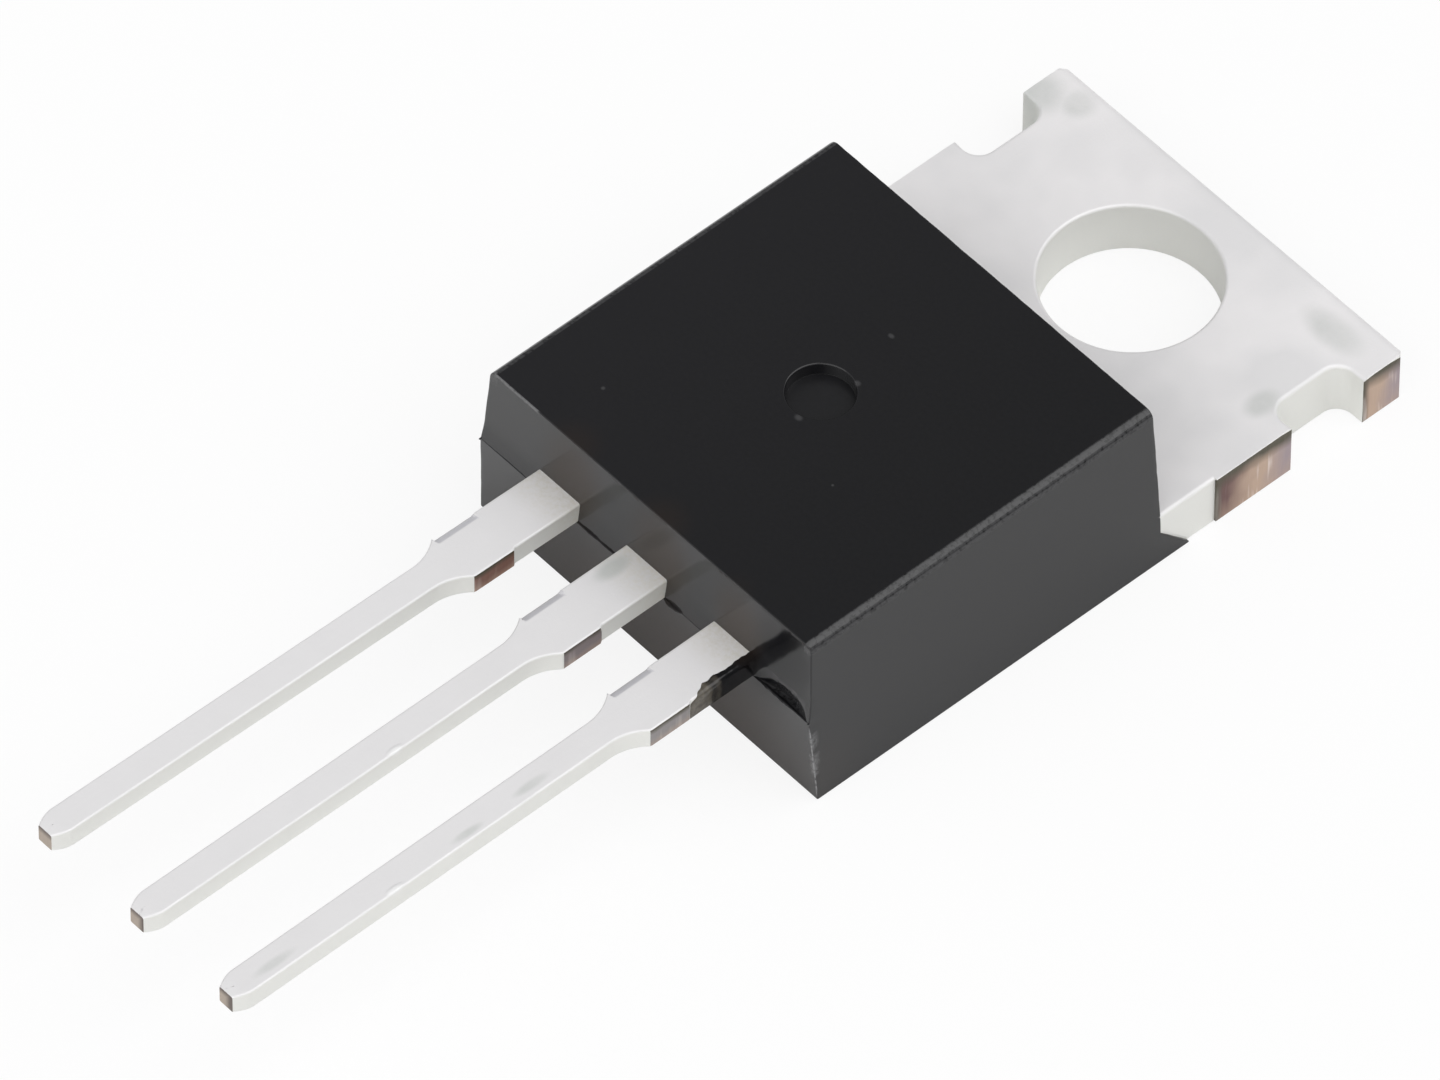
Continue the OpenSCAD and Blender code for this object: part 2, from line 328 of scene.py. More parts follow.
def marks(coords, places):
    total = None
    for place, radius, stretch in places:
        inputs = {"Vector": coords, "Place": place, "Radius": radius, "Stretch": stretch}
        mask = addField(coords.tree, "ShaderNodeGroup", inputs, node_tree=softMark)
        total = calc("MAXIMUM", total, mask) if total else mask
    return total


# Ranges are given as value from, value to, result from, result to
tinSettings = {
    "light": (0.90, 0.885, 0.892, 1),
    "cloud": (0.80, 0.792, 0.80, 1),
    # Sideways faces: painted shade, slightly darker and yellower than the tops
    "side": (0.80, 0.80, 0.77, 1),
    "warm": (0.74, 0.71, 0.63, 1),
    "smudge": (0.56, 0.58, 0.56, 1),
    # Painted glint of the dents
    "dentAndGlint": (0.93, 0.93, 0.93, 1),
    # Painted shade for the left edges of the stubs, and darker for their brink
    "drawn": (0.60, 0.595, 0.63, 1),
    "brinkShade": (0.26, 0.25, 0.24, 1),
    "metallic": 0.22,
    "cloudGrain": 0.5,
    "fineGrain": 13.0,
    "rolledGrain": (5.0, (1.8, 0.08, 1.0)),
    "cloudTone": (0.40, 0.66),
    "flatFacing": (0.3, 0.9),
    "rough": (0.5, 0.95, 0.44, 0.58),
    "leadFrom": (-12.6, -14.6),
    "leadShare": 0.8,
    "bloomFrom": (-13.69, -12.79),
    "bloomEnd": -12.69,
    "bloomTone": (0.35, 0.75, 0.25, 0.8),
    "smudgeTone": (0.45, 0.95, 0.2, 1.0),
    "smudgeShare": 0.75,
    "scuffShare": 0.9,
    "drawnAlong": (-15.46, -14.4),
    "leftShadeFacing": (-0.04, -0.3, 0.0, 0.85),
    "brinkShadeFacing": (-0.55, -0.75, 0.0, 0.8),
    "rolledBump": (0.2, 0.01),
    "scuffBump": (0.6, 0.03),
    "fineBump": (0.3, 0.007),
    "smudges": [((-4.72, 1.9, 1.3), 0.75, (1, 1, 0.3)), ((-4.0, 2.25, 1.3), 0.5, (1, 1, 0.3)),
                ((4.05, -0.25, 1.3), 0.5, (1.3, 0.9, 0.3)), ((3.62, 2.04, 1.3), 0.62, (0.6, 1.3, 0.3)),
                ((-0.33, -13.3, 2.8), 0.35, (1.2, 0.6, 1)), ((2.74, -19.75, 2.8), 0.3, (2.5, 0.6, 1)),
                ((2.66, -18.02, 2.8), 0.35, (2.5, 0.6, 1)), ((2.68, -24.61, 2.8), 0.4, (2.8, 0.6, 1))],
    "scuffs": [((0.28, -19.43, 2.8), 0.2, (2.0, 0.8, 1)), ((2.85, -21.69, 2.8), 0.22, (2.2, 0.8, 1)),
               ((1.1, -5.4, 1.3), 0.1, (1, 1, 1))],
}


def tinPlate(s):
    material, shader, coords = newMaterial("tinPlate", {"Metallic": s["metallic"]})
    cloudTone, cloudHeight = grain(coords, s["cloudGrain"])
    fineTone, fineHeight = grain(coords, s["fineGrain"])
    rolledHeight = grain(coords, *s["rolledGrain"])[1]
    sideways, _, upward = axes(addField(coords.tree, "ShaderNodeNewGeometry", output="Normal"))
    along = axes(coords)[1] * 1000
    flat = ramp(calc("ABSOLUTE", upward), *s["flatFacing"])
    top = mixColours(ramp(cloudTone, *s["cloudTone"]), s["light"], s["cloud"])
    # Painted shade: faces turned sideways take a slightly darker, yellower colour than the tops
    colour = mixColours(flat, s["side"], top)
    onLead = flat * ramp(along, *s["leadFrom"], smooth=True)
    colour = mixColours(onLead * s["leadShare"], colour, s["cloud"])
    # Brownish bloom where the leads leave the moulding
    bloom = ramp(along, *s["bloomFrom"]) * (along < s["bloomEnd"]) * ramp(fineTone, *s["bloomTone"])
    colour = mixColours(bloom, colour, s["warm"])
    smudge = marks(coords, s["smudges"]) * ramp(cloudHeight, *s["smudgeTone"]) * s["smudgeShare"]
    colour = mixColours(smudge, colour, s["smudge"])
    # Dents, with a painted glint: lighter in colour as well as bumped
    dentAndGlint = marks(coords, s["scuffs"]) * s["scuffShare"]
    colour = mixColours(dentAndGlint, colour, s["dentAndGlint"])
    # Left edges of the stubs, drawn down by the cutter: painted shade on the faces turned to the left, darker still
    # where they turn furthest
    low, high = s["drawnAlong"]
    stub = (along > low) * (along < high)
    colour = mixColours(stub * ramp(sideways, *s["leftShadeFacing"]), colour, s["drawn"])
    colour = mixColours(stub * ramp(sideways, *s["brinkShadeFacing"]), colour, s["brinkShade"])
    feed(shader["Base Color"], colour)
    feed(shader["Roughness"], ramp(cloudHeight, *s["rough"]))
    dents = bump(dentAndGlint, *s["scuffBump"], bump(rolledHeight, *s["rolledBump"]))
    feed(shader["Normal"], bump(fineHeight, *s["fineBump"], dents))
    layOut(coords.tree)
    return material


copperSettings = {
    "rust": (0.14, 0.068, 0.062, 1),
    "beige": (0.52, 0.38, 0.29, 1),
    "lilac": (0.36, 0.29, 0.31, 1),
    "rim": (0.075, 0.065, 0.04, 1),
    "streak": (0.84, 0.76, 0.73, 1),
    "leads": ((0.22, 0.105, 0.075, 1), (0.24, 0.20, 0.205, 1), (0.29, 0.27, 0.27, 1)),
    "tipMiddle": (0.42, 0.35, 0.29, 1),
    "tipRim": (0.13, 0.10, 0.085, 1),
    "metallic": 0.45,
    "rough": 0.38,
    "pitch": 2.54,
    "tabTop": 1.3,
    "leadTop": 2.8,
    "leadThickness": 0.5,
    "leadsBelowY": -12.0,
    "wingAboveY": 1.0,
    "tie": (-2.2, -0.25),
    "wing": (1.0, 2.7),
    "wingEnd": 1.64,
    "tipEnd": -25.7,
    "dragGrain": (5.0, (1.0, 1.0, 0.1)),
    "blotchGrain": 1.1,
    "wavy": 0.5,
    "blotchy": 0.35,
    "rustTo": (0.15, 0.5),
    "lilacFrom": (0.6, 0.85),
    "palerBelow": (0.55, 1.0, 0.0, 0.5),
    "rimDepth": (0.05, 0.31),
    "rimLength": (0.03, 0.17),
    "streakTone": (0.53, 0.64),
    "streakDepth": (0.25, 0.5),
    "streakAlong": (0.1, 0.6, 0.15, 0.9),
    "tipRimSide": (0.02, 0.16),
    "tipRimTop": (2.6, 2.74),
    "dragBump": (0.5, 0.02),
}


def cutCopper(s):
    material, shader, coords = newMaterial("cutCopper", {"Metallic": s["metallic"], "Roughness": s["rough"]})
    x, y, z = [axis * 1000 for axis in axes(coords)]
    dragTone, dragHeight = grain(coords, *s["dragGrain"])
    blotch = grain(coords, s["blotchGrain"])[0] - 0.5
    onLead = y < s["leadsBelowY"]
    onWing = y > s["wingAboveY"]
    # How far down the face, and how far along it
    depthTab = (s["tabTop"] - z) / s["tabTop"]
    depthLead = (s["leadTop"] - z) / s["leadThickness"]
    depth = depthTab + onLead * (depthLead - depthTab)
    wavy = depth + (dragTone - 0.5) * s["wavy"]
    along = ramp(y, *s["tie"]) + onWing * (ramp(y, *s["wing"]) - 1.0) + blotch * s["wavy"]
    face = mixColours(ramp(along, *s["rustTo"]), s["rust"], s["beige"])
    face = mixColours(ramp(along, *s["lilacFrom"]), face, s["lilac"])
    first, second, third = s["leads"]
    lead = mixColours(x > -s["pitch"] / 2, first, second)
    lead = mixColours(x > s["pitch"] / 2, lead, third)
    face = mixColours(onLead, face, lead)
    paler = mixColours(ramp(wavy, *s["palerBelow"]), face, s["beige"])
    # A dark rim above and at the end where each cut began
    tieEnd = s["tie"][0]
    fromEnd = y - (onWing * (s["wingEnd"] - tieEnd) + tieEnd)
    atEnd = calc("ADD", ramp(fromEnd, *s["rimLength"]), onLead, clamp=True)
    colour = mixColours(ramp(depth + blotch * s["blotchy"], *s["rimDepth"]) * atEnd, s["rim"], paler)
    streak = ramp(dragTone, *s["streakTone"]) * ramp(wavy, *s["streakDepth"]) * ramp(along, *s["streakAlong"])
    colour = mixColours(streak, colour, s["streak"])
    # Tips were sheared: a darker rim above and at the right, paler inside
    fromMiddle = x - calc("ROUND", x / s["pitch"]) * s["pitch"]
    rim = calc("MAXIMUM", ramp(fromMiddle, *s["tipRimSide"]), ramp(z, *s["tipRimTop"]))
    tip = mixColours(rim, s["tipMiddle"], s["tipRim"])
    feed(shader["Base Color"], mixColours(y < s["tipEnd"], colour, tip))
    feed(shader["Normal"], bump(dragHeight, *s["dragBump"]))
    layOut(coords.tree)
    return material


epoxySettings = {
    "dark": (0.0034, 0.0035, 0.0046, 1),
    "light": (0.0082, 0.0081, 0.0098, 1),
    "acrossX": (4.6, -4.6),
    "acrossShare": 0.8,
    "paleTone": 0.4,
    "paleShare": 0.7,
    "cloudGrain": 0.7,
    "fineGrain": 11.0,
    # Painted light on the faces turned towards the leads, left off at the places listed below
    "frontLightColour": (0.027, 0.0272, 0.0285, 1),
    "frontLightFacing": (-0.7, -0.95),
    "frontLightGaps": [((3.9, -12.7, 3.6), 1.3, (1, 1, 0.9)), ((3.35, -12.95, 2.6), 0.95, (1, 1, 1))],
    # Painted highlight colour for the edges, the corner, the ledge and the glints
    "paintedLight": (0.22, 0.22, 0.225, 1),
    "paintedLightTone": (0.30, 0.52),
    "thin": (0.115, 0.10, 0.078, 1),
    "thinTone": (0.2, 0.6, 0.5, 1.0),
    "rough": (0.5, 0.95, 0.10, 0.17),
    "pitRough": 0.16,
    "fineBump": (0.25, 0.003),
    # Painted reflection: a brown tint where the leads are mirrored in the front
    "warm": (0.026, 0.0135, 0.006, 1),
    "reflectionTintShare": 0.6,
    "reflectionTintPlaces": [((-2.2, -12.7, 3.3), 1.1, (1, 1, 0.7)), ((0.35, -12.7, 3.3), 1.1, (1, 1, 0.7)),
                   ((2.6, -12.7, 3.3), 0.9, (1, 1, 0.7)), ((0.5, -12.7, 0.5), 2.4, (0.4, 1, 1))],
    # Painted glints: small light spots on the upper face, two on the rim of the recess
    "glintShare": 0.16,
    "glints": [((-2.86, -11.3, 4.36), 0.06, (1, 1, 1)), ((0.31, -7.53, 4.34), 0.09, (0.8, 1, 1)),
               ((0.2, -8.96, 4.34), 0.1, (0.8, 1, 1)), ((-0.14, -6.24, 4.36), 0.07, (0.7, 1, 1)),
               ((1.9, -9.6, 4.36), 0.04, (1, 1, 1))],
}


def epoxy(s):
    material, shader, coords = newMaterial("mouldedEpoxy")
    cloudHeight = grain(coords, s["cloudGrain"])[1]
    fineTone, fineHeight = grain(coords, s["fineGrain"])
    paintedLight, thin, pit = [addField(coords.tree, "ShaderNodeAttribute", output="Fac", attribute_name=name)
                       for name in ("paintedLight", "thin", "pit")]
    # The side away from the lamp is a little paler
    across = ramp(axes(coords)[0] * 1000, *s["acrossX"]) * s["acrossShare"]
    pale = calc("ADD", across, (fineTone - s["paleTone"]) * s["paleShare"], clamp=True)
    colour = mixColours(pale, s["dark"], s["light"])
    # Painted light: the faces turned towards the leads are coloured lighter, except where the front beside the third
    # lead stays dark
    facing = axes(addField(coords.tree, "ShaderNodeNewGeometry", output="Normal"))[1]
    frontLightMask = calc("SUBTRACT", ramp(facing, *s["frontLightFacing"]), marks(coords, s["frontLightGaps"]), clamp=True)
    colour = mixColours(frontLightMask, colour, s["frontLightColour"])
    # Painted reflection: the front is browner above each lead, where the lead is mirrored in it, and over the lower
    # front
    colour = mixColours(marks(coords, s["reflectionTintPlaces"]) * s["reflectionTintShare"], colour, s["warm"])
    # Painted highlights on the eased edges, the right front corner and the ledge, broken up by the grain
    paintedLightMask = paintedLight * ramp(fineTone, *s["paintedLightTone"])
    # Painted glints on the upper face and the rim of the recess
    glint = marks(coords, s["glints"]) * s["glintShare"]
    colour = mixColours(calc("MAXIMUM", paintedLightMask, glint), colour, s["paintedLight"])
    colour = mixColours(thin * ramp(fineTone, *s["thinTone"]), colour, s["thin"])
    feed(shader["Base Color"], colour)
    feed(shader["Roughness"], ramp(cloudHeight, *s["rough"]) + pit * s["pitRough"])
    feed(shader["Normal"], bump(fineHeight, *s["fineBump"]))
    layOut(coords.tree)
    return material


innerSettings = {
    "solder": {"a": (0.40, 0.41, 0.42, 1), "b": (0.52, 0.53, 0.54, 1), "metallic": 0.8, "rough": (0.4, 0.6),
               "perMm": 3.0},
    "silicon": {"a": (0.33, 0.35, 0.40, 1), "b": (0.46, 0.48, 0.52, 1), "metallic": 0.8, "rough": (0.18, 0.3),
                "perMm": 0.8},
    "bondWire": {"a": (0.74, 0.74, 0.73, 1), "b": (0.84, 0.84, 0.83, 1), "metallic": 0.9, "rough": (0.25, 0.4),
                 "perMm": 6.0},
    "tone": (0.35, 0.65),
    "height": (0.5, 0.95),
    "bump": (0.3, 0.01),
}


def innerFinish(name, s):
    own = s[name]
    material, shader, coords = newMaterial(name, {"Metallic": own["metallic"]})
    tone, height = grain(coords, own["perMm"])
    feed(shader["Base Color"], mixColours(ramp(tone, *s["tone"]), own["a"], own["b"]))
    feed(shader["Roughness"], ramp(height, *s["height"], *own["rough"]))
    feed(shader["Normal"], bump(height, *s["bump"]))
    layOut(coords.tree)
    return material


tinFinish = tinPlate(tinSettings)
copperFinish = cutCopper(copperSettings)
epoxyFinish = epoxy(epoxySettings)
solderFinish, siliconFinish, wireFinish = [innerFinish(name, innerSettings)
                                           for name in ("solder", "silicon", "bondWire")]
print("finishes made")


# Shading normals: large flat faces stay flat, and the rounded strips beside them run smoothly into them
evenSettings = {"keySteps": 20, "flatArea": 0.6, "sameAngle": 5}


def evened(piece, angle, s=evenSettings):
    mesh = piece.data
    sides = [face.normal.copy() for face in mesh.polygons]
    sizes = [face.area / mm ** 2 for face in mesh.polygons]
    keys = [tuple(round(c * s["keySteps"]) for c in side) for side in sides]
    areas = {}
    for key, size in zip(keys, sizes):
        areas[key] = areas.get(key, 0) + size
    flat = [areas[key] > s["flatArea"] for key in keys]
    around = [[] for v in mesh.vertices]
    for face in mesh.polygons:
        for v in face.vertices:
            around[v].append(face.index)
    limit, same = math.cos(math.radians(angle)), math.cos(math.radians(s["sameAngle"]))
    normals = [None] * len(mesh.loops)
    for face in mesh.polygons:
        own = sides[face.index]
        for corner in face.loop_indices:
            near = around[mesh.loops[corner].vertex_index]
            if flat[face.index]:
                like = [g for g in near if flat[g] and sides[g].dot(own) > same]
            else:
                like = [g for g in near if sides[g].dot(own) > limit]
                walls = [g for g in like if flat[g]]
                if walls:
                    like = [max(walls, key=lambda g: sides[g].dot(own))]
            total = sum((sides[g] * sizes[g] for g in like), Vector((0, 0, 0)))
            normals[corner] = total.normalized() if total.length > 0 else own
    mesh.shade_smooth()
    mesh.normals_split_custom_set(normals)
    return piece


def attachTree(piece, tree, values):
    made = piece.modifiers.new(tree.name, "NODES")
    made.node_group = tree
    for socket in tree.interface.items_tree:
        if socket.item_type == "SOCKET" and socket.in_out == "INPUT" and socket.name in values:
            made[socket.identifier] = values[socket.name]
    return piece


def plainMesh(piece):
    graph = bpy.context.evaluated_depsgraph_get()
    graph.update()
    return bpy.data.meshes.new_from_object(piece.evaluated_get(graph), depsgraph=graph)


def frozen(piece):
    old, mesh = piece.data, plainMesh(piece)
    piece.modifiers.clear()
    piece.data = mesh
    bpy.data.meshes.remove(old)
    mesh.name = piece.name
    return piece


def meshFrom(name, form):
    mesh = bpy.data.meshes.new(name)
    form.to_mesh(mesh)
    form.free()
    return mesh


def carve(piece, boxes):
    for low, high in boxes:
        form = bmesh.new()
        bmesh.ops.create_cube(form, size=1)
        for v in form.verts:
            for axis in range(3):
                v.co[axis] = (low[axis] if v.co[axis] < 0 else high[axis]) * mm
        cutter = newObject("cutter", meshFrom("cutter", form))
        cut = piece.modifiers.new("cut", "BOOLEAN")
        cut.operation = "DIFFERENCE"
        cut.solver = "EXACT"
        cut.object = cutter
        frozen(piece)
        bpy.data.objects.remove(cutter)


def joined(main, other):
    both = [main, other]
    with bpy.context.temp_override(active_object=main, object=main, selected_objects=both,
                                   selected_editable_objects=both):
        bpy.ops.object.join()


def ringOf(form, radius, z, count, y=0):
    turns = [2 * math.pi * k / count for k in range(count)]
    return [form.verts.new((radius * math.cos(a) * mm, (y + radius * math.sin(a)) * mm, z * mm)) for a in turns]


def border(form, ring):
    return [form.edges.get((ring[i - 1], ring[i])) for i in range(len(ring))]


def bridged(form, first, second):
    n = len(first)
    return [form.faces.new((first[i], first[(i + 1) % n], second[(i + 1) % n], second[i])) for i in range(n)]


# The leads: one tree sweeps the strip's section along a path and gives it the stamped outline
leadSettings = {
    "rise": 2.3,
    "lengths": {
        "Thickness": 0.5, "Front Y": -12.79, "Tip Y": -25.75, "Tip Length": 0.42, "Tip Half": 0.19,
        "Narrow Half": 0.34, "Narrow Y": -16.23, "Taper Length": 0.8, "Stub Half": 0.64, "Stub Y": -14.43,
        "Root Half": 0.6, "Post Y": -11.94, "Post Half": 1.15, "Upper Roll": 0.05, "Lower Roll": 0.03,
        "Long Stretch": 0.3, "Torn Edge": 0.12, "Torn Reach": 0.23, "Wobble": 0.012, "End Reach": 0.1,
    },
    "tipNip": 0.12,
    "points": 300,
    "cornerPoints": 5,
    "extraPoints": 9,
    "tipPower": 1.7,
    "nipPower": 2.5,
    "tornPower": 1.25,
    "wobblePerMm": 0.45,
    "endFacing": -0.8,
    "sideFacing": (-0.85, 0.8),
    "postEnd": -10.64,
    "bend": [(-9.9, 1.05), (-10.45, 1.05), (-11.32, 2.55)],
    "angle": 40,
    "leads": [
        {"name": "baseLead", "centre": -2.54, "lean": -0.15, "seed": 3},
        {"name": "middleLead", "centre": 0, "lean": 0.0, "seed": 5},
        {"name": "emitterLead", "centre": 2.54, "lean": 0.05, "seed": 8},
    ],
}


def leadTree(s):
    inputs = {"Geometry": "Geometry", **dict.fromkeys(s["lengths"], "Float"), "Lean": "Float", "Tip Nip": "Float",
              "Middle Z": "Float", "Points": "Int", "Seed": "Int", "Plated": "Material", "Cut": "Material"}
    tree, put, out = newGroup("stampedLead", "Geometry", inputs, {"Geometry": "Geometry"})
    place = addField(tree, "GeometryNodeInputPosition")
    x, y, z = axes(place)

    # Section of the strip, rolled more on its upper corners
    section = addField(tree, "GeometryNodeCurvePrimitiveQuadrilateral",
                       {"Width": put["Narrow Half"] * 2.0, "Height": put["Thickness"]})
    upper = y < 0.0
    radius = upper * put["Upper Roll"] + (1.0 - upper) * put["Lower Roll"]
    rounded = addField(tree, "GeometryNodeFilletCurve",
                       {"Curve": section, "Radius": radius, "Count": s["cornerPoints"]}, mode="POLY")

    # More points on the flat stretches of the section, so that a border can be bent down
    following = addField(tree, "GeometryNodeFieldAtIndex",
                         {"Index": addField(tree, "GeometryNodeInputIndex") + 1, "Value": place},
                         data_type="FLOAT_VECTOR", domain="POINT")
    gap = vectorCalc("DISTANCE", place, following, "Value")
    denser = addField(tree, "GeometryNodeSubdivideCurve",
                      {"Curve": rounded, "Cuts": (gap > put["Long Stretch"]) * s["extraPoints"]})
    path = addField(tree, "GeometryNodeResampleCurve", {"Curve": put["Geometry"], "Count": put["Points"]})
    sweep = addField(tree, "GeometryNodeCurveToMesh", {"Curve": path, "Profile Curve": denser, "Fill Caps": True})

    # Half the strip's width at each place along it
    narrowHalf, stubHalf, rootHalf = put["Narrow Half"], put["Stub Half"], put["Root Half"]
    fromTip = 1.0 - share(y, put["Tip Y"], put["Tip Y"] + put["Tip Length"])
    narrow = (1.0 - calc("POWER", fromTip, s["tipPower"])) * (narrowHalf - put["Tip Half"]) + put["Tip Half"]
    drop, taper = stubHalf - narrowHalf, put["Taper Length"]
    bend = (drop * drop + taper * taper) / (drop * 2.0)
    run = calc("MINIMUM", calc("MAXIMUM", y - put["Narrow Y"], 0.0), taper)
    bow = bend - calc("SQRT", bend * bend - run * run)
    root = (y > put["Stub Y"]) * (rootHalf - stubHalf)
    post = (y > put["Post Y"]) * (put["Post Half"] - rootHalf)
    spread = calc("SIGN", x) * (narrow + bow + root + post - narrowHalf)

    # Nipped tip, left edge of the stub bent down, lean and a slight unevenness
    nip = calc("POWER", fromTip, s["nipPower"]) * put["Tip Nip"]
    inStub = (y > put["Narrow Y"] + taper) * (y < put["Stub Y"])
    left = narrowHalf * -1.0
    atLeft = calc("POWER", share(x, left + put["Torn Reach"], left), s["tornPower"])
    bentDown = atLeft * inStub * (z > put["Middle Z"]) * put["Torn Edge"]
    lift = (put["Middle Z"] - z) * nip - bentDown
    lean = share(y, put["Front Y"], put["Tip Y"]) * put["Lean"]
    inputs = {"Vector": place, "W": put["Seed"], "Scale": s["wobblePerMm"] * 1000, "Detail": 1.0}
    wave = addField(tree, "ShaderNodeTexNoise", inputs, "Color", noise_dimensions="4D")
    waver = scaled(vectorCalc("SUBTRACT", wave, (0.5, 0.5, 0.5)), put["Wobble"])
    move = addField(tree, "ShaderNodeCombineXYZ", {"X": spread + lean, "Z": lift})
    shaped = addField(tree, "GeometryNodeSetPosition",
                      {"Geometry": sweep, "Offset": vectorCalc("ADD", move, waver)})

    # Bare copper on the tip's end and on the sides of the stubs
    facingX, facingY, _ = axes(addField(tree, "GeometryNodeInputNormal"))
    onEnd = (facingY < s["endFacing"]) * (y < put["Tip Y"] + put["End Reach"])
    leftward, rightward = s["sideFacing"]
    onSide = calc("MAXIMUM", facingX > rightward, facingX < leftward) * inStub
    real = addField(tree, "GeometryNodeRealizeInstances", {0: shaped})
    plated = addField(tree, "GeometryNodeSetMaterial", {"Geometry": real, "Material": put["Plated"]})
    cut = addField(tree, "GeometryNodeSetMaterial", {"Geometry": plated, "Material": put["Cut"],
                                                     "Selection": calc("MAXIMUM", onEnd, onSide)})
    feed(out["Geometry"], cut)
    layOut(tree)
    return tree


stampedLead = leadTree(leadSettings)


def leadPiece(lead, s):
    lengths = dict(s["lengths"])
    middleZ = s["rise"] + lengths["Thickness"] / 2
    path = [(s["postEnd"], middleZ)]
    if lead["centre"] == 0:
        # The middle lead bends down to the plate and has no post
        path = s["bend"]
        lengths["Post Half"] = lengths["Root Half"]
    path = path + [(lengths["Tip Y"], middleZ)]
    curve = bpy.data.curves.new(lead["name"], "CURVE")
    curve.dimensions = "3D"
    spline = curve.splines.new("POLY")
    spline.points.add(len(path) - 1)
    for point, (y, z) in zip(spline.points, path):
        point.co = (0, y * mm, z * mm, 1)
    swept = newObject("path", curve)
    values = {label: value * mm for label, value in lengths.items()}
    values.update({"Lean": lead["lean"] * mm, "Tip Nip": s["tipNip"], "Middle Z": middleZ * mm, "Points": s["points"],
                   "Seed": lead["seed"], "Plated": tinFinish, "Cut": copperFinish})
    mesh = plainMesh(attachTree(swept, stampedLead, values))
    bpy.data.objects.remove(swept)
    mesh.name = lead["name"]
    mesh.transform(Matrix.Translation((lead["centre"] * mm, 0, 0)))
    return evened(newObject(lead["name"], mesh), s["angle"])


baseLead, middleLead, emitterLead = [leadPiece(lead, leadSettings) for lead in leadSettings["leads"]]
print("leads made")


# The heat tab's plate: an outline whose edges are rolled by how each was stamped or cut
tabSettings = {
    "thickness": 1.3,
    "wingHalf": 4.95,
    "tieHalf": 4.9,
    "sideHalf": 4.85,
    "endY": 2.74,
    "endCorner": 0.12,
    "notchX": 4.25,
    "notchRadius": 0.4,
    "notchFar": 1.64,
    "notchNear": -0.22,
    "tieY": -2.2,
    "shoulderY": -4.03,
    "plateHalf": 4.35,
    "plateFront": -10.2,
    "lockIn": 0.45,
    "lockHeight": 0.55,
    "holeRadius": 1.85,
    "holePoints": 128,
    "arcSteps": 10,
    "rollSteps": 6,
    "side": (0.09, 0.075),
    "end": (0.21, 0.09),
    "corner": (0.1, 0.09),
    "cut": (0.015, 0.015),
    "hole": (0.08, 0.08),
    "under": (0.03, 0.03),
    "step": 0.45,
    "near": 0.28,
    "longEdge": 2.5,
    "margin": 0.05,
    "underRound": 0.3,
    "cutterHalf": 5,
    "cutterFoot": -1,
    "cutterPast": 0.8,
    "angle": 40,
}


# Right half of the outline, each corner with the kind of the edge that leaves it, and then the left half
def tabOutline(s):
    r, steps = s["notchRadius"], s["arcSteps"]
    corners = [(s["plateHalf"], s["plateFront"], "side"), (s["plateHalf"], s["shoulderY"], "side"),
               (s["sideHalf"], s["shoulderY"], "side"), (s["sideHalf"], s["tieY"], "cut"),
               (s["tieHalf"], s["tieY"], "cut"), (s["tieHalf"], s["notchNear"], "side")]
    for start, middle in ((-90, s["notchNear"] + r), (180, s["notchFar"] - r)):
        for i in range(steps + 1):
            a = math.radians(start - 90 * i / steps)
            corners.append((s["notchX"] + r + r * math.cos(a), middle + r * math.sin(a), "side"))
    corners += [(s["wingHalf"], s["notchFar"], "cut"), (s["wingHalf"], s["endY"] - s["endCorner"], "corner"),
                (s["wingHalf"] - s["endCorner"], s["endY"], "end")]
    points = [(x, y) for x, y, kind in corners]
    kinds = [kind for x, y, kind in corners]
    return points + [(-x, y) for x, y in reversed(points)], kinds + kinds[-2::-1] + ["side"]


# Long edges get more points, close to their ends and evenly between
def divided(points, kinds, s):
    fine, fineKinds = [], []
    for i, kind in enumerate(kinds):
        a, b = Vector(points[i]), Vector(points[(i + 1) % len(points)])
        length, near = (b - a).length, s["near"]
        stops = [0]
        if length > s["longEdge"] * near:
            n = max(1, int((length - 2 * near) / s["step"]))
            stops += [near + (length - 2 * near) * k / n for k in range(n + 1)]
        for stop in stops:
            fine.append(a + (b - a) * (stop / length))
            fineKinds.append(kind)
    return fine, fineKinds


